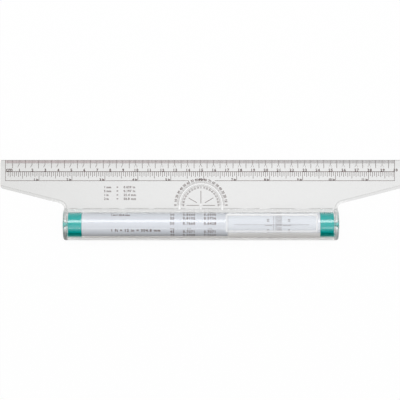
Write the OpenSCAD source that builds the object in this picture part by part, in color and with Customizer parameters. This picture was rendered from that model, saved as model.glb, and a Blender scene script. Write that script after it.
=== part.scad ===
// Rolling ruler: a clear plate with a bevelled drawing edge, and a roller that turns in a half-round cover
// with a flat reading window.
// +X runs along the scale, +Y points to the drawing edge and +Z is up.
// The tyres stand on z = 0, and the whole ruler is centred over the origin.

/* [Plate] */
// Length of the plate from end to end
plate_l = 309; // [250:1:400]
// Thickness of the plate
plate_t = 2.7; // [2:0.1:4]
// Distance from the cover's rear face to the drawing edge
plate_reach = 37.4; // [34:0.1:60]
// Length of the straight stretch at each end of the plate
end_h = 21.7; // [12:0.1:26]
// Height above the cover's rear face at which a wing's lower edge meets the line of the cover's end
waist_h = 3.2; // [3:0.1:8]
// Radius of the fillet between a wing and the cover's end
neck_r = 5; // [4:0.1:5.8]
// Radius of the corners at the drawing edge
edge_corner_r = 1; // [0.4:0.1:3]
// Radius of the corners where the wings begin
wing_corner_r = 2.4; // [0.5:0.1:5]
// Width of the bevel along the drawing edge
edge_bevel_w = 4.9; // [2:0.1:10]
// Thickness left at the drawing edge
edge_t = 0.8; // [0.6:0.1:1.8]
// Width of the bevel along the wings' lower edges
wing_bevel_w = 2.3; // [0.5:0.1:3]
// Depth of the bevel along the wings' lower edges
wing_bevel_h = 1.2; // [0.4:0.1:1.6]

/* [Protractor] */
// Distance from the cover's rear face to the protractor's centre
protractor_y = 2.65; // [2.6:0.05:12]
// Radius of the marking slot's centre line
slot_r = 16.5; // [8:0.1:20]
// Width of the marking slot
slot_w = 0.5; // [0.4:0.1:3]
// Straight run at each end of the marking slot
slot_leg = 1.6; // [0:0.1:2]
// Diameter of the pivot hole
pivot_d = 0.8; // [0.6:0.1:3]
// Diameter of the countersink round the pivot hole
pivot_sink_d = 1.8; // [1.2:0.1:5]
// Depth of that countersink
pivot_sink_h = 0.5; // [0.2:0.1:1.2]

/* [Cover] */
// Length of the cover with its end caps
cover_l = 210.7; // [140:0.1:230]
// Outer width of the cover
cover_w = 24.3; // [23:0.1:32]
// Wall of the cover
cover_wall = 1.7; // [1.2:0.1:2]
// Height of the cover's front wall above the table
foot_gap = 0.6; // [0.3:0.1:2]
// Width of the tongue that seats the cover in the plate
tongue_w = 0.8; // [0.4:0.1:1]
// Depth of that tongue
tongue_h = 0.8; // [0.3:0.1:1.2]

/* [Reading window] */
// Length of the window along the cover
window_l = 70.3; // [40:0.1:80]
// Width of the window across the cover
window_w = 14.2; // [11:0.1:15]
// How far the window's middle lies from the roller's axis towards the plate
window_shift = 1.2; // [0:0.1:1.6]
// Height of the window's flat top above the crown of the cover
window_rise = 0.3; // [0.2:0.05:1]
// Width of the sloping border round the window's flat top
window_slope_w = 1.5; // [0.4:0.1:2.5]
// How far that border falls
window_slope_h = 0.4; // [0.1:0.05:0.8]
// Radius of the window's upright corners
window_corner_r = 1.5; // [0.5:0.1:2.5]
// Distance from the window to the right tyre's inner edge
window_gap = 2; // [0.5:0.1:20]

/* [End caps] */
// Thickness of an end cap
cap_t = 2.7; // [2.2:0.1:5]
// Radius of the end caps' outer edges
cap_edge_r = 2; // [0.4:0.1:2.2]
// Depth of the lip that centres a cap in the cover
lip_l = 0.6; // [0.5:0.1:2]
// Thickness of that lip
lip_t = 0.5; // [0.4:0.1:0.8]
// Diameter of the bearing boss inside a cap
boss_d = 7; // [5:0.1:10]

/* [Roller] */
// Diameter over the tyres
tyre_d = 18.6; // [17:0.1:19]
// Width of a tyre
tyre_w = 10.5; // [9.5:0.1:20]
// Thickness of a tyre
tyre_t = 1.4; // [0.8:0.1:1.5]
// Radius of the tyres' outer edges
tyre_edge_r = 0.4; // [0.1:0.05:0.7]
// How far the tyres stand below the plate
roller_stand = 0.3; // [0.1:0.05:0.8]
// Outer diameter of the roller tube
tube_d = 17.6; // [16:0.1:17.8]
// Wall of the roller tube
tube_wall = 1.2; // [0.8:0.1:1.6]
// Thickness of the table sheet
sheet_t = 0.25; // [0.1:0.01:0.4]
// Thickness of the distance film
film_t = 0.15; // [0.1:0.01:0.4]
// Opening left where the edges of a wrapped sheet meet
seam_w = 0.5; // [0.3:0.1:2]
// Length of a hub's spigot inside the tube
spigot_l = 6; // [3:0.1:12]
// Wall of that spigot
spigot_wall = 1.3; // [0.8:0.1:2]
// Thickness of the web that carries a stub axle
web_t = 2.2; // [1.5:0.1:3]
// Depth of the recess in a hub's outer face
recess_h = 2.2; // [1:0.1:3]
// Wall of the rim under a tyre
rim_t = 1.3; // [0.8:0.1:1.6]
// Diameter of the stub axles
axle_d = 3; // [2:0.1:4]
// Diameter of the thrust shoulder at the foot of a stub axle
shoulder_d = 5; // [4.2:0.1:6]
// How far an axle stops short of its cap's outer face
axle_inset = 0.3; // [0.1:0.1:1]

/* [Fits] */
// Radial clearance of an axle in its cap
bearing_gap = 0.05; // [0.02:0.01:0.09]
// Clearance between pieces that are cemented or slid together
bond_gap = 0.05; // [0.02:0.01:0.1]
// End float of the roller at each cap
end_float = 0.3; // [0.2:0.05:0.6]
// Gap between a turning face and a still one that it never touches
running_gap = 0.5; // [0.3:0.05:0.8]

/* [Hidden] */
$fn = 96;

// Heights
plate_z = roller_stand;
plate_top = plate_z + plate_t;
axis_z = tyre_d / 2;

// Places along Y
edge_y = (plate_reach + cover_w) / 2;
rear_y = edge_y - plate_reach;
axis_y = rear_y - cover_w / 2;
plate_rear_y = rear_y - cover_wall;

// Plate outline
end_x = plate_l / 2;
neck_x = cover_l / 2;
end_y = edge_y - end_h;
waist_y = rear_y + waist_h;
wing_angle = atan2(end_y - waist_y, end_x - neck_x);
neck_run = neck_r * tan((90 - wing_angle) / 2);
neck_center = [neck_x + neck_r, waist_y - neck_run];
wing_corner_run = wing_corner_r / tan((90 + wing_angle) / 2);
wing_corner_center = [end_x - wing_corner_r, end_y + wing_corner_run];
wing_edge_l = norm([end_x - neck_x, end_y - waist_y]);
cone_r = neck_r + 0.03; // a little more than the fillet, so that the cone cuts the straight bevel
protractor_center = [0, rear_y + protractor_y];

// Cover
cover_r = cover_w / 2;
tunnel_r = cover_r - cover_wall;
cap_x = neck_x - cap_t;
tongue_y = rear_y - cover_wall / 2;
window_x = cap_x - lip_l - running_gap - tyre_w - window_gap - window_l;
window_y = axis_y + window_shift;
window_top = axis_z + cover_r + window_rise;
window_h = window_top - axis_z;

// Roller
hub_face_x = cap_x - lip_l - running_gap;
shoulder_h = running_gap - end_float;
tyre_x = hub_face_x - tyre_w;
tube_x = tyre_x - bond_gap;
axle_l = neck_x - axle_inset - hub_face_x;
hub_bore_l = tyre_w - web_t - recess_h;
hub_r = tyre_d / 2 - tyre_t - bond_gap;
cavity_r = tube_d / 2 - tube_wall;
spigot_r = cavity_r - bond_gap;
wrap_r = tube_d / 2 + bond_gap;
sheet_x = window_x + cover_wall;
sheet_l = sheet_x + tube_x;
film_x = sheet_x + running_gap;
film_l = tube_x - film_x;

CLEAR = [0.9, 0.92, 0.92, 0.45];
TEAL = [0.12, 0.6, 0.54];
WHITE = [0.95, 0.95, 0.97];

// A point on the wing's lower edge, counted from the plate's end
function on_wing(run) = [end_x - run * cos(wing_angle), end_y - run * sin(wing_angle)];

// A (Y, Z) profile drawn out along X from x = 0
module along_x(length) {
    rotate([90, 0, 90]) linear_extrude(length) children();
}

// Turned shapes, with their axis along X on the roller's axis
module on_axis(x = 0) {
    translate([x, axis_y, axis_z]) rotate([0, 90, 0]) children();
}

module both_sides() {
    children();
    mirror([1, 0, 0]) children();
}

// A filled arch: a half circle on a block
module vault(r, leg_h) {
    intersection() {
        circle(r);
        translate([-r, 0]) square([2 * r, r]);
    }
    translate([-r, -leg_h]) square([2 * r, leg_h]);
}

// The wall that is left between a vault and a smaller one
module arch(r, wall, leg_h) {
    difference() {
        vault(r, leg_h);
        vault(r - wall, 2 * leg_h);
    }
}

// Section of the reading window: a flat top with a sloping border, centred over the X axis
module window_section(width) {
    polygon([
        [-width / 2, 0],
        [width / 2, 0],
        [width / 2, window_h - window_slope_h],
        [width / 2 - window_slope_w, window_h],
        [window_slope_w - width / 2, window_h],
        [-width / 2, window_h - window_slope_h]
    ]);
}

// A rectangle centred on the origin, with all its corners rounded
module rounded(length, width, r) {
    square([length - 2 * r, width], center = true);
    square([length, width - 2 * r], center = true);
    for (x = [-1, 1], y = [-1, 1]) translate([x * (length / 2 - r), y * (width / 2 - r)]) circle(r);
}

// Right half of the plate, from the middle to the end
module half_outline() {
    difference() {
        union() {
            polygon([
                [0, plate_rear_y],
                [neck_x, plate_rear_y],
                [neck_x, neck_center.y],
                neck_center,
                on_wing(wing_edge_l - neck_run),
                on_wing(wing_corner_run),
                [end_x, end_y + wing_corner_run],
                [end_x, edge_y - edge_corner_r],
                [end_x - edge_corner_r, edge_y],
                [0, edge_y]
            ]);
            translate(wing_corner_center) circle(wing_corner_r);
            translate([end_x - edge_corner_r, edge_y - edge_corner_r]) circle(edge_corner_r);
        }
        translate(neck_center) circle(neck_r);
    }
}

module plate_blank() {
    translate([0, 0, plate_z]) linear_extrude(plate_t) both_sides() half_outline();
}

// Everything above the drawing edge's bevel
module edge_bevel() {
    drop = plate_t - edge_t;
    translate([-end_x, edge_y, plate_top])
        along_x(plate_l)
            polygon([[edge_bevel_w, -2 * drop], [edge_bevel_w, drop], [-2 * edge_bevel_w, drop]]);
}

// Everything above the bevel of one wing: straight along its edge, then a cone round the fillet
module wing_bevel() {
    translate([end_x, end_y, plate_top]) rotate([0, 0, 180 + wing_angle])
        translate([-wing_bevel_w, 0, 0])
            along_x(wing_edge_l - neck_run + wing_bevel_w)
                polygon([
                    [wing_bevel_w, -2 * wing_bevel_h],
                    [wing_bevel_w, wing_bevel_h],
                    [-2 * wing_bevel_w, wing_bevel_h]
                ]);
    intersection() {
        translate([neck_center.x, neck_center.y, plate_top - 2 * wing_bevel_h])
            cylinder(3 * wing_bevel_h, cone_r - wing_bevel_w, cone_r + 2 * wing_bevel_w);
        translate([0, rear_y, 0]) cube([end_x, plate_reach, plate_top + plate_t]);
    }
}

// The protractor's half-round slot, with a short straight run at each end
module slot_outline() {
    intersection() {
        difference() {
            circle(slot_r + slot_w / 2);
            circle(slot_r - slot_w / 2);
        }
        translate([-2 * slot_r, 0]) square([4 * slot_r, 2 * slot_r]);
    }
    for (side = [-1, 1]) {
        translate([side * slot_r - slot_w / 2, -slot_leg]) square([slot_w, slot_leg]);
        translate([side * slot_r, -slot_leg]) circle(d = slot_w);
    }
}

module pivot_hole() {
    cylinder(plate_top + plate_t, d = pivot_d);
    translate([0, 0, plate_top - pivot_sink_h])
        cylinder(pivot_sink_h, d1 = pivot_d, d2 = pivot_sink_d);
}

module ruler_plate() {
    color(CLEAR) difference() {
        plate_blank();
        edge_bevel();
        both_sides() wing_bevel();
        translate(protractor_center) linear_extrude(plate_top + plate_t) slot_outline();
        translate(protractor_center) pivot_hole();
        translate([-cap_x, tongue_y - tongue_w / 2 - bond_gap, plate_top - tongue_h - bond_gap])
            cube([2 * cap_x, tongue_w + 2 * bond_gap, plate_t]);
    }
}

// Block of the reading window: both sections meet in it, and its upright corners are rounded
module window_block() {
    translate([window_x + window_l / 2, window_y, axis_z]) intersection() {
        linear_extrude(window_h) rounded(window_l, window_w, window_corner_r);
        translate([-window_l / 2, 0, 0]) along_x(window_l) window_section(window_w);
        translate([0, window_w / 2, 0]) rotate([90, 0, 0]) linear_extrude(window_w) window_section(window_l);
    }
}

// The room inside that block
module window_room() {
    translate([window_x + window_l / 2, window_y, axis_z])
        linear_extrude(window_h - cover_wall)
            square([window_l - 2 * cover_wall, window_w - 2 * cover_wall], center = true);
}

module roller_cover() {
    color(CLEAR) {
        difference() {
            union() {
                translate([-cap_x, axis_y, axis_z]) along_x(2 * cap_x) vault(cover_r, axis_z - foot_gap);
                window_block();
            }
            translate([-neck_x, axis_y, axis_z]) along_x(cover_l) vault(tunnel_r, 2 * axis_z);
            window_room();
            translate([-neck_x, plate_rear_y - cover_wall / 2, 0]) cube([cover_l, cover_w, plate_top]);
        }
        translate([-cap_x, tongue_y - tongue_w / 2, plate_top - tongue_h])
            cube([2 * cap_x, tongue_w, tongue_h]);
    }
}

// Edge of an end cap: a square of the given width whose outer corner is rounded
module cap_profile(width) {
    square([width, cap_t - cap_edge_r]);
    square([width - cap_edge_r, cap_t]);
    intersection() {
        translate([width - cap_edge_r, cap_t - cap_edge_r]) circle(cap_edge_r);
        square([width, cap_t]);
    }
}

// Right cap: a half-round wall on straight legs, a lip inside the cover and a bored bearing boss
module end_cap() {
    difference() {
        union() {
            translate([cap_x, axis_y, axis_z]) rotate([90, 0, 90])
                rotate_extrude(angle = 180) cap_profile(cover_r);
            translate([cap_x, axis_y, foot_gap]) linear_extrude(axis_z - foot_gap)
                rotate(-90) {
                    cap_profile(cover_r);
                    mirror([1, 0]) cap_profile(cover_r);
                }
            translate([cap_x - lip_l, axis_y, axis_z])
                along_x(lip_l) arch(tunnel_r - bond_gap, lip_t, axis_z - foot_gap);
            on_axis(cap_x - lip_l) cylinder(lip_l, d = boss_d);
        }
        on_axis(cap_x - 2 * lip_l) cylinder(3 * lip_l + cap_t, d = axle_d + 2 * bearing_gap);
        translate([cap_x - 2 * lip_l, plate_rear_y - bond_gap, 0])
            cube([2 * lip_l + 2 * cap_t, cover_w, plate_top]);
    }
}

module right_end_cap() {
    color(CLEAR) end_cap();
}

module left_end_cap() {
    color(CLEAR) mirror([1, 0, 0]) end_cap();
}

module roller_tube() {
    color(WHITE) on_axis(-tube_x) difference() {
        cylinder(2 * tube_x, d = tube_d);
        translate([0, 0, -tube_x]) cylinder(4 * tube_x, r = cavity_r);
    }
}

// A sheet wrapped round the tube, with its seam at the bottom
module wrapped(length, thickness) {
    difference() {
        cylinder(length, r = wrap_r + thickness);
        translate([0, 0, -length]) cylinder(3 * length, r = wrap_r);
        translate([0, -seam_w / 2, -length]) cube([tube_d, seam_w, 3 * length]);
    }
}

module table_sheet() {
    color(WHITE) on_axis(-tube_x) wrapped(sheet_l, sheet_t);
}

module distance_film() {
    color(WHITE) on_axis(film_x) wrapped(film_l, film_t);
}

// Rim, web and stub axle of a hub, with the axle pointing along +X
module wheel_blank() {
    on_axis(tyre_x) difference() {
        cylinder(tyre_w, r = hub_r);
        translate([0, 0, tyre_w - recess_h]) difference() {
            cylinder(tyre_w, r = hub_r - rim_t);
            cylinder(tyre_w, d = shoulder_d);
        }
    }
    on_axis(hub_face_x) cylinder(shoulder_h, d = shoulder_d);
    on_axis(hub_face_x) cylinder(axle_l, d = axle_d);
}

// Wheel with a hollow spigot that enters the tube
module hub() {
    difference() {
        union() {
            wheel_blank();
            on_axis(tyre_x - spigot_l) cylinder(spigot_l, r = spigot_r);
        }
        on_axis(tyre_x - 2 * spigot_l)
            cylinder(2 * spigot_l + hub_bore_l, r = spigot_r - spigot_wall);
    }
}

module right_hub() {
    color(TEAL) hub();
}

module left_hub() {
    color(TEAL) mirror([1, 0, 0]) hub();
}

// Grip ring with rounded outer edges
module tyre() {
    on_axis(tyre_x) rotate_extrude() difference() {
        union() {
            translate([0, tyre_edge_r]) square([tyre_d / 2, tyre_w - 2 * tyre_edge_r]);
            square([tyre_d / 2 - tyre_edge_r, tyre_w]);
            for (z = [tyre_edge_r, tyre_w - tyre_edge_r])
                translate([tyre_d / 2 - tyre_edge_r, z]) circle(tyre_edge_r);
        }
        square([tyre_d / 2 - tyre_t, tyre_w]);
    }
}

module right_tyre() {
    color(TEAL) tyre();
}

module left_tyre() {
    color(TEAL) mirror([1, 0, 0]) tyre();
}

ruler_plate();
roller_cover();
left_end_cap();
right_end_cap();
roller_tube();
table_sheet();
distance_film();
left_hub();
right_hub();
left_tyre();
right_tyre();
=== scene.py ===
import math

import bmesh
import bpy
from mathutils import Matrix, Vector


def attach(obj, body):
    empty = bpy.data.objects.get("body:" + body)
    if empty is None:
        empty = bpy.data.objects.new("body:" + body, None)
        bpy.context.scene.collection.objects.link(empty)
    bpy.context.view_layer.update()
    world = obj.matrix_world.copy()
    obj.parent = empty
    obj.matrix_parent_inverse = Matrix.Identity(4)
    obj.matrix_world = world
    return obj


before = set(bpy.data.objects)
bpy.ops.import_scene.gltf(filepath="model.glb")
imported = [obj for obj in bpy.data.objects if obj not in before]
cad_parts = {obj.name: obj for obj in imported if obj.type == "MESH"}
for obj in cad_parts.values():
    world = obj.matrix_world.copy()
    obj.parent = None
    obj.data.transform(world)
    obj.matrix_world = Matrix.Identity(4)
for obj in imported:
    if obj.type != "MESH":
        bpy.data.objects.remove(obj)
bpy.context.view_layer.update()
mm = 0.001
scene = bpy.context.scene
scene.view_settings.view_transform = "Standard"
lightBounces = 96  # light runs far inside the clear plate
scene.cycles.max_bounces = lightBounces
scene.cycles.glossy_bounces = lightBounces
scene.cycles.transmission_bounces = lightBounces
scene.cycles.transparent_max_bounces = lightBounces
print("frame loaded:", len(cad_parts), "nodes")


# shader sums: a socket that can be added, multiplied and fed to nodes
class Wire:
    def __init__(self, tree, socket=None):
        self.tree = tree
        self.socket = socket

    def node(self, kind, settings=None, sockets=None, out=0):
        made = self.tree.nodes.new("ShaderNode" + kind)
        for name, value in (settings or {}).items():
            if name == "stops":
                spots = made.color_ramp.elements
                for place, colour in value[2:]:
                    spots.new(place).color = colour
                for spot, (place, colour) in zip(spots, sorted(value)):
                    spot.position = place
                    spot.color = colour
            else:
                setattr(made, name, value)
        for name, value in (sockets or {}).items():
            if isinstance(value, Wire):
                self.tree.links.new(value.socket, made.inputs[name])
            else:
                made.inputs[name].default_value = value
        return Wire(self.tree, made.outputs[out])

    def math(self, operation, first, second=0.0):
        return self.node("Math", {"operation": operation}, {0: first, 1: second})

    def __add__(self, other):
        return self.math("ADD", self, other)

    __radd__ = __add__

    def __sub__(self, other):
        return self.math("SUBTRACT", self, other)

    def __rsub__(self, other):
        return self.math("SUBTRACT", other, self)

    def __mul__(self, other):
        return self.math("MULTIPLY", self, other)

    __rmul__ = __mul__

    def __abs__(self):
        return self.math("ABSOLUTE", self)

    def limit(self):
        return self.node("Clamp", None, {0: self})


def newMaterial(name):
    material = bpy.data.materials.new(name)
    material.use_nodes = True
    material.node_tree.nodes.clear()
    return material, Wire(material.node_tree)


def objectAxis(wire, axis):
    return wire.node("SeparateXYZ", None, {0: wire.node("TexCoord", None, None, "Object")}, axis)


def between(wire, value, low, high):  # 0 at low, 1 at high, and level beyond them
    return wire.node("MapRange", None, {"Value": value, "From Min": low, "From Max": high})


def distance(wire, across, along):
    return wire.math("SQRT", across * across + along * along)


def blendColour(wire, share, first, second):
    return wire.node("Mix", {"data_type": "RGBA"}, {0: share, 6: first, 7: second}, 2)


def blendSurface(wire, share, first, second):
    return wire.node("MixShader", None, {0: share, 1: first, 2: second})


def setSurface(material, wire):
    output = material.node_tree.nodes.new("ShaderNodeOutputMaterial")
    material.node_tree.links.new(wire.socket, output.inputs["Surface"])
    return material


# camera straight above the plate
cameraLook = {"height": 1.5, "frameWidth": 308.7 * mm, "sensor": 36.0, "aside": -0.7 * mm, "farthest": 10.0}


def makeCamera(look):
    data = bpy.data.cameras.new("camera")
    data.sensor_width = look["sensor"]
    data.lens = look["sensor"] * look["height"] / look["frameWidth"]
    data.clip_end = look["farthest"]
    camera = bpy.data.objects.new("camera", data)
    camera.location = (look["aside"], 0.0, look["height"])
    scene.collection.objects.link(camera)
    scene.camera = camera


makeCamera(cameraLook)

# studio: a long soft lamp towards the drawing edge and a fill at the front, a pale room, a white floor
studio = {
    "lamps": [{"name": "key", "tilt": 25.0, "size": (1.6, 0.34), "level": 2.7},
              {"name": "fill", "tilt": -31.0, "size": (1.2, 0.14), "level": 1.2}],
    "lampDistance": 1.0,
    "room": [(0.0, 0.0), (0.092, 0.01), (0.12, 0.36), (0.3, 0.63), (0.5, 0.88),  # level from front to rear
             (0.75, 0.5), (0.93, 0.36), (1.0, 0.42)],
    "floorSize": 3.0, "floorColour": (0.98, 0.98, 0.98, 1.0), "floorBounce": (0.2, 0.2, 0.2, 1.0),
    "glowColour": (1.0, 1.0, 1.0, 1.0), "floorGlow": 0.95, "floorUnder": 0.8,
    "mirrorY": (-50 * mm, -10 * mm),  # gloss shows the white floor only behind this
}


def makeLamp(look, away):
    data = bpy.data.lights.new(look["name"], "AREA")
    data.shape = "RECTANGLE"
    data.size, data.size_y = look["size"]
    data.energy = look["level"] * data.size * data.size_y * math.pi
    lamp = bpy.data.objects.new(look["name"], data)
    tilt = math.radians(look["tilt"])
    lamp.location = (0.0, away * math.sin(tilt), away * math.cos(tilt))
    lamp.rotation_euler = (-tilt, 0.0, 0.0)
    scene.collection.objects.link(lamp)


def makeRoom(look):
    world = bpy.data.worlds.new("room")
    world.use_nodes = True
    world.node_tree.nodes.clear()
    wire = Wire(world.node_tree)
    way = wire.node("TexCoord", None, None, "Generated")
    towardsEdge = wire.node("SeparateXYZ", None, {0: way}, "Y")
    stops = [(place, (level, level, level, 1.0)) for place, level in look["room"]]
    shade = wire.node("ValToRGB", {"stops": stops}, {0: between(wire, towardsEdge, -1.0, 1.0)}, "Color")
    glow = wire.node("Background", None, {"Color": shade, "Strength": 1.0})
    output = world.node_tree.nodes.new("ShaderNodeOutputWorld")
    world.node_tree.links.new(glow.socket, output.inputs["Surface"])
    scene.world = world


def floorPaper(look):
    material, wire = newMaterial("floor paper")
    straight = wire.node("LightPath", None, None, "Is Camera Ray")
    through = wire.node("LightPath", None, None, "Is Transmission Ray")
    glossy = wire.node("LightPath", None, None, "Is Glossy Ray")
    mirrored = glossy * between(wire, objectAxis(wire, "Y"), *look["mirrorY"])
    seen = (straight + through).limit()
    paper = blendColour(wire, (seen + mirrored).limit(), look["floorBounce"], look["floorColour"])
    matte = wire.node("BsdfDiffuse", None, {"Color": paper})
    glow = wire.node("Emission", None, {"Color": look["glowColour"], "Strength": 1.0})
    share = (straight * look["floorGlow"] + through * look["floorUnder"]).limit()
    return setSurface(material, blendSurface(wire, share, matte, glow))


def makeFloor(look):
    mesh = bpy.data.meshes.new("floor")
    bm = bmesh.new()
    bmesh.ops.create_grid(bm, x_segments=1, y_segments=1, size=look["floorSize"] / 2)
    bm.to_mesh(mesh)
    bm.free()
    floor = bpy.data.objects.new("floor", mesh)
    scene.collection.objects.link(floor)
    mesh.materials.append(floorPaper(look))


for lampLook in studio["lamps"]:
    makeLamp(lampLook, studio["lampDistance"])
makeRoom(studio)
makeFloor(studio)
print("camera, lamps, room and floor made")

# clear plastics: they bend light for the eye, and let lamps through to what lies under them
clearPlastic = {"ior": 1.49, "hazeDetail": 3.0, "flowDetail": 1.0, "flowDepth": 0.02 * mm}


def clearSurface(wire, look, tint):
    place = wire.node("TexCoord", None, None, "Object")
    haze = wire.node("TexNoise", None, {
        "Vector": place, "Scale": look["hazeScale"], "Detail": clearPlastic["hazeDetail"]}, "Fac")
    flow = wire.node("TexNoise", None, {
        "Vector": place, "Scale": look["flowScale"], "Detail": clearPlastic["flowDetail"]}, "Fac")
    ripple = wire.node("Bump", None, {
        "Height": flow, "Strength": look["flow"], "Distance": clearPlastic["flowDepth"]})
    return wire.node("BsdfPrincipled", None, {
        "Base Color": tint, "Roughness": haze * look["haze"], "IOR": clearPlastic["ior"],
        "Transmission Weight": 1.0, "Normal": ripple})


def bareSurface(wire, colour):
    return wire.node("BsdfTransparent", None, {"Color": colour})


def letLightPass(wire, surface, look):
    passing = bareSurface(wire, look["shadow"])
    lampRay = wire.node("LightPath", None, None, "Is Shadow Ray")
    roomRay = wire.node("LightPath", None, None, "Is Diffuse Ray")
    lit = blendSurface(wire, lampRay, surface, passing)
    return blendSurface(wire, roomRay, lit, passing)


# painted shade darkens the plate towards its left end, where the light is dimmer, and the plate is darker
# behind the millimetre marks; thin grey lines of painted shade show where its bevels start, round its slot
# and along the drawing edge, a dashed line follows the bonded seam, with clear spots at the slot's ends
plateLook = {
    "tint": (0.856, 0.856, 0.853, 1.0), "endShadeTint": (0.765, 0.765, 0.755, 1.0),
    "fullLightX": 60 * mm, "shadeReach": 220 * mm,
    "bandTint": (0.629, 0.562, 0.562, 1.0), "bandEndTint": (0.668, 0.66, 0.66, 1.0),
    "bandX": (-124 * mm, 116 * mm), "bandY": (28.1 * mm, 28.6 * mm),
    "bandLeft": (-151.0 * mm, -150.7 * mm), "bandRight": (149.7 * mm, 149.4 * mm),
    "lineTint": (0.4, 0.39, 0.385, 1.0), "line": 0.3 * mm, "tipY": (30.2 * mm, 30.7 * mm),
    "bevelWeight": 0.45, "bevel": 2.3 * mm, "wingEnd": (154.5 * mm, 9.15 * mm), "wingSlope": 14.27,
    "wingX": (108.2 * mm, 108.8 * mm), "neck": (110.35 * mm, -7.24 * mm), "neckR": 5.0 * mm,
    "neckFade": 1.0 * mm,
    "slotWeight": 0.3, "slotY": -3.9 * mm, "slotR": 16.5 * mm, "slotRim": (0.75 * mm, 0.5 * mm),
    "seamWeight": 0.5, "seamRear": (-6.1 * mm, -6.25 * mm), "seamFront": (-7.0 * mm, -6.7 * mm),
    "dashScale": 70.0, "dashDetail": 1.0, "dash": (0.42, 0.5),
    "spotTint": (1.0, 1.0, 1.0, 1.0), "spotY": -6.55 * mm,
    "slotSpot": (1.2 * mm, 0.6 * mm), "pinSpot": (0.9 * mm, 0.4 * mm),
    "shadow": (0.98, 0.98, 0.98, 1.0), "haze": 0.03, "hazeScale": 60.0, "flow": 0.06, "flowScale": 40.0,
}


def bevelLines(wire, look, side, y):
    slope = math.radians(look["wingSlope"])
    depth = (look["wingEnd"][0] - side) * math.sin(slope) + (y - look["wingEnd"][1]) * math.cos(slope)
    onWing = between(wire, side, *look["wingX"])
    wingLine = (1 - between(wire, abs(depth - look["bevel"]), 0.0, look["line"])) * onWing
    neckX, neckY = look["neck"]
    ring = distance(wire, side - neckX, y - neckY)
    neckLine = 1 - between(wire, abs(ring - look["neckR"] - look["bevel"]), 0.0, look["line"])
    return wingLine + neckLine * (1 - onWing) * between(wire, y, neckY, neckY + look["neckFade"])


def slotRims(wire, look, x, y):
    offSlot = abs(distance(wire, x, y - look["slotY"]) - look["slotR"])
    return between(wire, offSlot, *look["slotRim"]) * wire.math("GREATER_THAN", y, look["slotY"])


def seamDashes(wire, look, x, y):
    bond = wire.node("TexNoise", {"noise_dimensions": "1D"}, {
        "W": x, "Scale": look["dashScale"], "Detail": look["dashDetail"]}, "Fac")
    seam = between(wire, y, *look["seamRear"]) * between(wire, y, *look["seamFront"])
    return seam * between(wire, bond, *look["dash"])


def clearSpots(wire, look, x, side, y):
    offSeam = y - look["spotY"]
    slotSpot = between(wire, distance(wire, side - look["slotR"], offSeam), *look["slotSpot"])
    pinSpot = between(wire, distance(wire, x, offSeam), *look["pinSpot"])
    return wire.math("MAXIMUM", slotSpot, pinSpot)


def platePlastic(look):
    material, wire = newMaterial("plate plastic")
    x = objectAxis(wire, "X")
    y = objectAxis(wire, "Y")
    side = abs(x)
    # painted shade: the tint darkens towards the left end, where the light is dimmer
    far = (x - look["fullLightX"]) * (1 / look["shadeReach"])
    tint = blendColour(wire, (far * far).limit(), look["tint"], look["endShadeTint"])
    bandTint = blendColour(wire, between(wire, x, *look["bandX"]), look["bandTint"], look["bandEndTint"])
    alongScale = between(wire, x, *look["bandLeft"]) * between(wire, x, *look["bandRight"])
    tint = blendColour(wire, between(wire, y, *look["bandY"]) * alongScale, tint, bandTint)
    spots = clearSpots(wire, look, x, side, y)
    tint = blendColour(wire, spots, tint, look["spotTint"])
    # painted shade: dark lines where the bevels start, round the slot's rim and along the drawing edge; the
    # dashes mark the bonded seam
    lines = bevelLines(wire, look, side, y) * look["bevelWeight"]
    lines = lines + seamDashes(wire, look, x, y) * (1 - spots) * look["seamWeight"]
    lines = lines + slotRims(wire, look, x, y) * look["slotWeight"]
    lines = lines + between(wire, y, *look["tipY"])
    tint = blendColour(wire, lines.limit(), tint, look["lineTint"])
    return setSurface(material, letLightPass(wire, clearSurface(wire, look, tint), look))


# the cover is clear; a whitish frost on its window's sloping border is a painted highlight, and a haze on
# the wall below it is painted light;
# painted shade greys the wall at the front, tints it green over the tyres and darkens a strip behind the
# plate, and the wall bends light less where it is steep
coverLook = {
    "tint": (0.96, 0.96, 0.957, 1.0), "frontShadeTint": (0.8, 0.775, 0.74, 1.0),
    "front": (-24.8 * mm, -29.5 * mm),
    "borderHighlight": (0.95, 0.96, 0.97, 1.0), "borderHighlightWeight": 0.7, "borderZ": 21.36 * mm, "borderLevel": 0.99,
    "wallPaintedLight": (0.9, 0.88, 0.86, 1.0), "wallWeight": 0.55, "wallTop": (-24.5 * mm, -25.1 * mm),
    "wallFoot": (-28.6 * mm, -27.6 * mm), "windowLeft": (20.2 * mm, 20.9 * mm),
    "windowRight": (91.2 * mm, 90.8 * mm),
    "tyreShadeTint": (0.05, 0.55, 0.5, 1.0), "tyreX": (90.9 * mm, 91.3 * mm),
    "tyreFoot": (-28.3 * mm, -27.1 * mm),
    "rearThin": 0.87, "rear": (-10.8 * mm, -9.2 * mm), "rimThin": 0.62, "rim": (-27.9 * mm, -29.4 * mm),
    "endThin": 0.6, "end": (101.3 * mm, 101.7 * mm),
    "stripShade": (0.91, 0.91, 0.905, 1.0), "stripRear": (-8.2 * mm, -8.6 * mm),
    "stripFront": (-11.0 * mm, -10.0 * mm),
    "shadow": (0.98, 0.98, 0.98, 1.0), "haze": 0.03, "hazeScale": 60.0, "flow": 0.015, "flowScale": 40.0,
}


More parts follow.
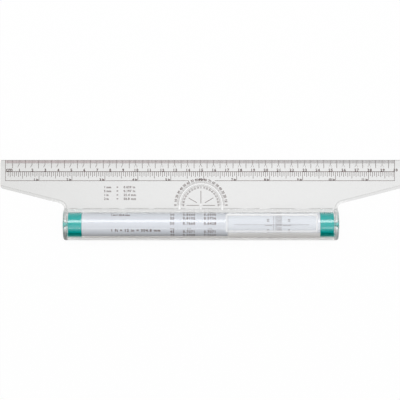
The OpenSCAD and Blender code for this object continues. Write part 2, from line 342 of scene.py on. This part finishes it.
def coverPlastic(look):
    material, wire = newMaterial("cover plastic")
    x = objectAxis(wire, "X")
    y = objectAxis(wire, "Y")
    side = abs(x)
    wall = between(wire, y, *look["wallTop"])
    # painted shade: the wall greys towards the front
    tint = blendColour(wire, between(wire, y, *look["front"]), look["tint"], look["frontShadeTint"])
    # painted shade: a deep green tint over the tyres darkens their lower front
    overTyreShade = wall * between(wire, y, *look["tyreFoot"]) * between(wire, side, *look["tyreX"])
    tint = blendColour(wire, overTyreShade, tint, look["tyreShadeTint"])
    # painted highlight: whitish frost on the window's sloping border stands in for the lamp's highlight
    # along its edges
    facing = wire.node("SeparateXYZ", None, {0: wire.node("NewGeometry", None, None, "True Normal")}, "Z")
    sloping = wire.math("LESS_THAN", facing, look["borderLevel"])
    border = sloping * wire.math("GREATER_THAN", objectAxis(wire, "Z"), look["borderZ"])
    borderHighlight = wire.node("BsdfDiffuse", None, {"Color": look["borderHighlight"]})
    surface = blendSurface(wire, border * look["borderHighlightWeight"], clearSurface(wire, look, tint), borderHighlight)
    # painted light: a whitish haze on the wall below the window lightens its shaded lower limb
    underWindow = between(wire, x, *look["windowLeft"]) * between(wire, x, *look["windowRight"])
    paintedLightWall = underWindow * wall * between(wire, y, *look["wallFoot"])
    wallPaintedLight = wire.node("BsdfDiffuse", None, {"Color": look["wallPaintedLight"]})
    surface = blendSurface(wire, paintedLightWall * look["wallWeight"], surface, wallPaintedLight)
    rear = between(wire, y, *look["rear"]) * look["rearThin"]
    rim = between(wire, y, *look["rim"]) * look["rimThin"]
    thin = wire.math("MAXIMUM", rear + rim, between(wire, side, *look["end"]) * look["endThin"])
    # painted shade: a greyer see-through strip behind the plate's rear edge darkens the tunnel floor under
    # the rear wall
    strip = between(wire, y, *look["stripRear"]) * between(wire, y, *look["stripFront"])
    shaded = bareSurface(wire, look["stripShade"])
    bare = blendSurface(wire, strip, bareSurface(wire, look["shadow"]), shaded)
    return setSurface(material, letLightPass(wire, blendSurface(wire, thin, surface, bare), look))


# painted shade greys the end caps towards the front and at the left end; they are thin at their inner lip
# and outer edge
capLook = {
    "tint": (0.58, 0.59, 0.585, 1.0), "leftShadeTint": (0.46, 0.475, 0.47, 1.0),
    "frontShadeTint": (0.26, 0.27, 0.265, 1.0), "leftFrontShadeTint": (0.12, 0.13, 0.125, 1.0),
    "front": (-21.8 * mm, -25.0 * mm),
    "axleTint": (0.9, 1.0, 0.99, 1.0), "axleY": -18.7 * mm, "axle": (3.6 * mm, 2.4 * mm),
    "innerThin": 0.7, "inner": (103.4 * mm, 102.9 * mm),
    "outerThin": 0.5, "outer": (104.3 * mm, 105.0 * mm),
    "rearThin": 0.7, "rear": (-9.6 * mm, -8.4 * mm),
    "shadow": (0.95, 0.95, 0.95, 1.0), "haze": 0.04, "hazeScale": 80.0, "flow": 0.05, "flowScale": 60.0,
}


def capPlastic(look):
    material, wire = newMaterial("cap plastic")
    x = objectAxis(wire, "X")
    y = objectAxis(wire, "Y")
    side = abs(x)
    # painted shade: the caps are greyer at the left end and towards the front
    atLeft = wire.math("LESS_THAN", x, 0.0)
    rearTint = blendColour(wire, atLeft, look["tint"], look["leftShadeTint"])
    frontShadeTint = blendColour(wire, atLeft, look["frontShadeTint"], look["leftFrontShadeTint"])
    tint = blendColour(wire, between(wire, y, *look["front"]), rearTint, frontShadeTint)
    overAxle = between(wire, abs(y - look["axleY"]), *look["axle"])
    tint = blendColour(wire, overAxle, tint, look["axleTint"])
    inner = between(wire, side, *look["inner"]) * look["innerThin"]
    outer = between(wire, side, *look["outer"]) * (1 - overAxle) * look["outerThin"]
    thin = wire.math("MAXIMUM", inner, outer)
    thin = wire.math("MAXIMUM", thin, between(wire, y, *look["rear"]) * look["rearThin"])
    surface = blendSurface(wire, thin, clearSurface(wire, look, tint), bareSurface(wire, look["shadow"]))
    return setSurface(material, letLightPass(wire, surface, look))


# solid plastics, rubber and paper: a fine grain moves the colour, the gloss and the skin a little
grainLook = {"detail": 4.0, "darkAt": 0.3, "lightAt": 0.7, "depth": 0.02 * mm, "dulls": 0.1}
tyreLook = {"dark": (0.003, 0.48, 0.45, 1.0), "light": (0.006, 0.53, 0.5, 1.0), "grainScale": 900.0,
            "bump": 0.015, "roughness": 0.04, "ior": 1.9}
hubLook = {"dark": (0.3, 0.82, 0.78, 1.0), "light": (0.36, 0.88, 0.84, 1.0), "grainScale": 300.0,
           "bump": 0.03, "roughness": 0.12, "ior": 1.5}
sheetLook = {"dark": (0.83, 0.865, 0.93, 1.0), "light": (0.87, 0.9, 0.96, 1.0), "grainScale": 2500.0,
             "bump": 0.15, "roughness": 0.75, "ior": 1.45}
filmLook = {"dark": (0.89, 0.925, 1.0, 1.0), "light": (0.92, 0.955, 1.0, 1.0), "grainScale": 1200.0,
            "bump": 0.05, "roughness": 0.6, "ior": 1.45}
tubeLook = {"dark": (0.82, 0.82, 0.85, 1.0), "light": (0.86, 0.86, 0.88, 1.0), "grainScale": 600.0,
            "bump": 0.05, "roughness": 0.45, "ior": 1.5}


def solidFinish(name, look):
    material, wire = newMaterial(name)
    place = wire.node("TexCoord", None, None, "Object")
    grain = wire.node("TexNoise", None, {
        "Vector": place, "Scale": look["grainScale"], "Detail": grainLook["detail"]}, "Fac")
    stops = [(grainLook["darkAt"], look["dark"]), (grainLook["lightAt"], look["light"])]
    colour = wire.node("ValToRGB", {"stops": stops}, {0: grain}, "Color")
    skin = wire.node("Bump", None, {
        "Height": grain, "Strength": look["bump"], "Distance": grainLook["depth"]})
    return setSurface(material, wire.node("BsdfPrincipled", None, {
        "Base Color": colour, "Roughness": grain * grainLook["dulls"] + look["roughness"],
        "IOR": look["ior"], "Normal": skin}))


def dress(material, *names):
    for name in names:
        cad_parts[name].material_slots[0].material = material


dress(platePlastic(plateLook), "ruler_plate")
dress(coverPlastic(coverLook), "roller_cover")
dress(capPlastic(capLook), "left_end_cap", "right_end_cap")
dress(solidFinish("white tube", tubeLook), "roller_tube")
dress(solidFinish("table paper", sheetLook), "table_sheet")
dress(solidFinish("distance film", filmLook), "distance_film")
dress(solidFinish("green hub", hubLook), "left_hub", "right_hub")
dress(solidFinish("green tyre", tyreLook), "left_tyre", "right_tyre")
print("finishes set")

# ink: marks are drawn flat in millimetres, then laid under the plate or bent round the roller
inkLook = {"thick": 0.02, "underPlate": 0.28, "curveSteps": 2,
           "digitHeight": 0.69,  # the font's digits at size 1
           "dark": (0.09, 0.04, 0.034, 1.0), "light": (0.13, 0.06, 0.05, 1.0), "grainScale": 1500.0,
           "bump": 0.05, "roughness": 0.45, "ior": 1.5}
scaleInk = solidFinish("scale ink", inkLook)


def drawBar(bm, start, end, width):
    run = Vector(end) - Vector(start)
    middle = (Vector(start) + Vector(end)) / 2
    turn = Matrix.Rotation(math.atan2(run.y, run.x), 4, "Z")
    stretch = Matrix.Diagonal((run.length, width, inkLook["thick"], 1.0))
    bmesh.ops.create_cube(bm, size=1.0, matrix=Matrix.Translation((*middle, 0.0)) @ turn @ stretch)


def drawWords(bm, words, height, at, align="CENTER", turn=0.0, spacing=1.0, weight=0.0):
    data = bpy.data.curves.new("words", "FONT")
    data.body = words
    data.align_x = align
    data.size = height / inkLook["digitHeight"]
    data.space_character = spacing
    data.offset = weight
    data.resolution_u = inkLook["curveSteps"]
    data.extrude = inkLook["thick"] / 2
    holder = bpy.data.objects.new("words", data)
    scene.collection.objects.link(holder)
    shape = bpy.data.meshes.new_from_object(holder.evaluated_get(bpy.context.evaluated_depsgraph_get()))
    shape.transform(Matrix.Translation((*at, 0.0)) @ Matrix.Rotation(turn, 4, "Z")
                    @ Matrix.Translation((0.0, -height / 2, 0.0)))
    bm.from_mesh(shape)
    bpy.data.objects.remove(holder)
    bpy.data.curves.remove(data)
    bpy.data.meshes.remove(shape)


def finishPiece(name, bm, body):
    bmesh.ops.recalc_face_normals(bm, faces=bm.faces)
    bmesh.ops.scale(bm, vec=(mm, mm, mm), verts=bm.verts)
    mesh = bpy.data.meshes.new(name)
    bm.to_mesh(mesh)
    bm.free()
    mesh.materials.append(scaleInk)
    piece = bpy.data.objects.new(name, mesh)
    scene.collection.objects.link(piece)
    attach(piece, body)
    print(name, len(mesh.polygons), "faces")


def layUnderPlate(name, bm):
    bmesh.ops.translate(bm, vec=(0.0, 0.0, inkLook["underPlate"]), verts=bm.verts)
    finishPiece(name, bm, "ruler")


# scale along the drawing edge: millimetres above, sixteenths of an inch below, in a frame of thin lines
edgeScale = {
    "aside": -0.24, "length": 300, "edge": 30.75, "line": 0.34,
    "perCm": 10, "perHalfCm": 5, "mmLine": 0.17, "mmTo": 27.8, "halfTo": 24.5, "cmTo": 27.0,
    "legFoot": 25.2, "leg": 0.28, "legAside": -1.1,
    "pairFrom": 100, "pairLeg": 0.15, "pairAside": (-1.2, 1.2),
    "inch": 25.4, "perInch": 16, "sixteenthTo": 18.5, "eighthTo": 17.8, "halfInchTo": 16.6, "inchTo": 15.4,
    "middle": 21.85, "middleLine": 0.45, "foot": 14.88, "footLine": 0.34, "footGap": (-9.2, 10.6),
    "frameLine": 0.3, "frameAside": -0.45,
}


def drawCentimetre(bm, look, count, x):
    drawBar(bm, (x, look["edge"]), (x, look["cmTo"]), look["line"])
    if count < look["pairFrom"]:  # a single digit has one leg, two digits have a finer pair
        drawBar(bm, (x, look["cmTo"]), (x + look["legAside"], look["legFoot"]), look["leg"])
    else:
        for aside in look["pairAside"]:
            drawBar(bm, (x, look["cmTo"]), (x + aside, look["legFoot"]), look["pairLeg"])


def drawScaleFrame(bm, look, left, right):
    gapLeft, gapRight = look["footGap"]  # the protractor's numbers stand in the gap
    drawBar(bm, (left, look["middle"]), (right, look["middle"]), look["middleLine"])
    drawBar(bm, (left, look["foot"]), (gapLeft, look["foot"]), look["footLine"])
    drawBar(bm, (gapRight, look["foot"]), (right, look["foot"]), look["footLine"])
    for x in (left, right):
        drawBar(bm, (x, look["edge"]), (x, look["foot"] - look["footLine"] / 2), look["frameLine"])


def makeEdgeScale(look):
    bm = bmesh.new()
    start = look["aside"] - look["length"] / 2
    for count in range(1, look["length"]):
        x = start + count
        if count % look["perCm"] == 0:
            drawCentimetre(bm, look, count, x)
        elif count % look["perHalfCm"] == 0:
            drawBar(bm, (x, look["edge"]), (x, look["halfTo"]), look["line"])
        else:
            drawBar(bm, (x, look["edge"]), (x, look["mmTo"]), look["mmLine"])
    sixteenth = look["inch"] / look["perInch"]
    for count in range(1, int(look["length"] / sixteenth) + 1):
        x = start + count * sixteenth
        if count % look["perInch"] == 0:
            low = look["inchTo"]
        elif count % (look["perInch"] // 2) == 0:
            low = look["halfInchTo"]
        else:
            low = look["eighthTo"] if count % 2 == 0 else look["sixteenthTo"]
        drawBar(bm, (x, look["middle"]), (x, low), look["line"])
    left = start + look["frameAside"]
    drawScaleFrame(bm, look, left, left + look["length"])
    layUnderPlate("edge_scale", bm)


# its numbers: centimetres above the middle line, inches at the foot
edgeNumbers = {"height": 1.95, "cmY": 23.1, "cmAside": 0.3, "cmSpacing": 1.3, "weight": 0.12,
               "unitX": 2.5, "unitY": 23.55, "unitHeight": 2.9, "unitWeight": 0.12,
               "inchHeight": 1.75, "inchY": 15.75, "inchAside": -0.4}


def makeEdgeNumbers(look, scale):
    bm = bmesh.new()
    start = scale["aside"] - scale["length"] / 2
    for count in range(1, scale["length"] // scale["perCm"] + 1):
        x = start + scale["perCm"] * count + look["cmAside"]
        drawWords(bm, str(count), look["height"], (x, look["cmY"]),
                  spacing=look["cmSpacing"], weight=look["weight"])
    unitPlace = (start + look["unitX"], look["unitY"])
    drawWords(bm, "cm", look["unitHeight"], unitPlace, weight=look["unitWeight"])
    for count in range(1, int(scale["length"] / scale["inch"]) + 1):
        x = start + count * scale["inch"] + look["inchAside"]
        drawWords(bm, f"{count} in", look["inchHeight"], (x, look["inchY"]), "RIGHT", weight=look["weight"])
    layUnderPlate("edge_numbers", bm)


makeEdgeScale(edgeScale)
makeEdgeNumbers(edgeNumbers, edgeScale)

# protractor round the pivot hole, with the slot between its two rings of marks
protractor = {
    "centre": (0.0, -3.9), "step": 2, "numberStep": 10, "tick": 0.12, "longTick": 0.192,
    "outer": 17.2, "outerShort": 18.5, "outerLong": 18.9,
    "inner": 15.3, "innerShort": 14.3, "innerLong": 14.0,
    "numberR": 19.75, "numberHeight": 1.75, "numberWeight": 0.06,
    "innerR": 13.4, "innerHeight": 1.2, "innerWeight": 0.03,
    "rays": (0, 30, 90, 150, 180), "ray": 0.38, "rayFrom": 3.6, "rayTo": 11.0,
    "axisFrom": 1.5, "baseDrop": 0.25,
}


def makeProtractor(look):
    bm = bmesh.new()
    centre = Vector(look["centre"])

    def along(angle, radius):
        return centre + radius * Vector((math.cos(math.radians(angle)), math.sin(math.radians(angle))))

    for angle in range(0, 181, look["step"]):
        kind = "Long" if angle % look["numberStep"] == 0 else "Short"
        width = look["longTick"] if kind == "Long" else look["tick"]
        for ring in ("outer", "inner"):
            drawBar(bm, along(angle, look[ring]), along(angle, look[ring + kind]), width)
    for angle in range(0, 181, look["numberStep"]):
        turn = math.radians(angle - 90)
        fromBase = min(angle, 180 - angle)
        drawWords(bm, str(fromBase), look["numberHeight"], along(angle, look["numberR"]),
                  turn=turn, weight=look["numberWeight"])
        drawWords(bm, str(90 - fromBase), look["innerHeight"], along(angle, look["innerR"]),
                  turn=turn, weight=look["innerWeight"])
    for angle in look["rays"]:
        near = look["axisFrom"] if angle % 90 == 0 else look["rayFrom"]
        drop = Vector((0.0, -look["baseDrop"] if angle % 180 == 0 else 0.0))
        drawBar(bm, along(angle, near) + drop, along(angle, look["rayTo"]) + drop, look["ray"])
    layUnderPlate("protractor_marks", bm)


makeProtractor(protractor)

# small unit table on the plate's left half
unitTable = {
    "rows": [("1 mm", "0.039 in"), ("5 mm", "0.197 in"), ("1 in", "25.4 mm"), ("2 in", "50.8 mm")],
    "first": 9.9, "pitch": -2.99, "height": 1.65, "weight": 0.065, "valueSpacing": 1.15,
    "nameX": -74.7, "equalX": -64.4, "valueX": -59.6,
}


def makeUnitTable(look):
    bm = bmesh.new()
    for row, (name, value) in enumerate(look["rows"]):
        y = look["first"] + row * look["pitch"]
        drawWords(bm, name, look["height"], (look["nameX"], y), "LEFT", weight=look["weight"])
        drawWords(bm, "=", look["height"], (look["equalX"], y), weight=look["weight"])
        drawWords(bm, value, look["height"], (look["valueX"], y), "LEFT",
                  spacing=look["valueSpacing"], weight=look["weight"])
    layUnderPlate("unit_table", bm)


makeUnitTable(unitTable)

# roller prints: y is the arc from the top, towards the drawing edge
roller = {"y": -18.7, "z": 9.3, "sheetR": 9.15, "filmR": 9.05, "cut": 0.5, "merge": 0.0001}


def bendRoundRoller(name, bm, radius):
    arc = math.pi * radius
    for step in range(int(2 * arc / roller["cut"])):
        y = -arc + step * roller["cut"]
        bmesh.ops.bisect_plane(bm, geom=bm.verts[:] + bm.edges[:] + bm.faces[:], dist=roller["merge"],
                               plane_co=(0.0, y, 0.0), plane_no=(0.0, 1.0, 0.0))
    for vert in bm.verts:
        angle = vert.co.y / radius
        reach = radius + vert.co.z
        vert.co = (vert.co.x, roller["y"] + reach * math.sin(angle), roller["z"] + reach * math.cos(angle))
    finishPiece(name, bm, "roller")


def halfTurn(turn):  # degrees from -180 to 180
    return (turn + 180) % 360 - 180


# table of angles and unit lines on the sheet, their rows placed in degrees round the roller
angleTable = {
    "rows": [120.0, 97.0, 74.0, 52.0, 30.0, 5.0, -34.5, -56.5, -78.5, -100.5, -122.5, -144.5],
    "firstAngle": 75, "angleStep": -5, "height": 1.9, "spacing": 1.25, "weight": 0.06,
    "columns": (-21.9, -9.1, 6.9), "heads": ("deg", "sin", "cos"), "headRow": -18.5, "headHeight": 1.35,
    "lines": [(49.0, 1.7, 0.95, "1 in = 25.4 mm"), (-28.0, 2.1, 1.25, "1 ft = 12 in = 304.8 mm"),
              (-76.0, 2.1, 1.25, "1 m = 39.37 in")],  # row, height, spacing, words
    "lineX": -68.7, "lineWeight": 0.08,
}


def makeAngleTable(look):
    bm = bmesh.new()
    radius = roller["sheetR"]
    arc = radius * math.pi / 180  # a degree round the sheet
    for count, row in enumerate(look["rows"]):
        angle = look["firstAngle"] + count * look["angleStep"]
        turned = math.radians(angle)
        texts = (str(angle), f"{math.sin(turned):.4f}", f"{math.cos(turned):.4f}")
        for x, words in zip(look["columns"], texts):
            drawWords(bm, words, look["height"], (x, row * arc),
                      spacing=look["spacing"], weight=look["weight"])
    for x, words in zip(look["columns"], look["heads"]):
        drawWords(bm, words, look["headHeight"], (x, look["headRow"] * arc), spacing=look["spacing"])
    for row, height, spacing, words in look["lines"]:
        drawWords(bm, words, height, (look["lineX"], row * arc), "LEFT",
                  spacing=spacing, weight=look["lineWeight"])
    bendRoundRoller("angle_table", bm, radius)


makeAngleTable(angleTable)

# distance that the tyres have rolled, read under the window's line
distanceScale = {
    "tyreR": 9.3, "rings": (55.35, 56.65, 57.65), "ringLine": 0.13, "seamGap": 0.6,
    "ladder": (58.0, 61.8), "leftTick": (48.9, 54.2), "rightTick": (62.6, 68.7), "tick": 0.2, "zero": -4.4,
    "labelEvery": 10, "labelTurn": 23.4, "labels": (51.2, 67.2), "labelRoom": 1.0, "height": 1.9,
}


def makeDistanceScale(look):
    bm = bmesh.new()
    radius = roller["filmR"]
    arc = radius * math.pi / 180  # a degree round the film
    half = math.pi * radius - look["seamGap"]
    perMm = 180 / (math.pi * look["tyreR"])  # degrees of turn for a millimetre of travel
    for x in look["rings"]:
        drawBar(bm, (x, -half), (x, half), look["ringLine"])
    for count in range(int(360 / perMm)):
        turn = halfTurn(look["zero"] + count * perMm)
        y = turn * arc
        if abs(y) > half:
            continue
        labelled = count % look["labelEvery"] == 0
        marks = [look["ladder"], look["leftTick"], look["rightTick"]] if labelled else [look["ladder"]]
        for left, right in marks:
            drawBar(bm, (left, y), (right, y), look["tick"])
        labelY = halfTurn(turn + look["labelTurn"]) * arc
        if labelled and abs(labelY) < half - look["labelRoom"]:
            words = str(count + look["labelEvery"])
            for x in look["labels"]:
                drawWords(bm, words, look["height"], (x, labelY), turn=math.pi / 2)
    bendRoundRoller("distance_scale", bm, radius)


makeDistanceScale(distanceScale)

# reading line under the window's ceiling
indexLine = {"x": (25.2, 82.4), "y": -18.8, "z": 20.03, "width": 0.16}


def makeIndexLine(look):
    bm = bmesh.new()
    left, right = look["x"]
    drawBar(bm, (left, look["y"]), (right, look["y"]), look["width"])
    bmesh.ops.translate(bm, vec=(0.0, 0.0, look["z"]), verts=bm.verts)
    finishPiece("index_line", bm, "ruler")


makeIndexLine(indexLine)
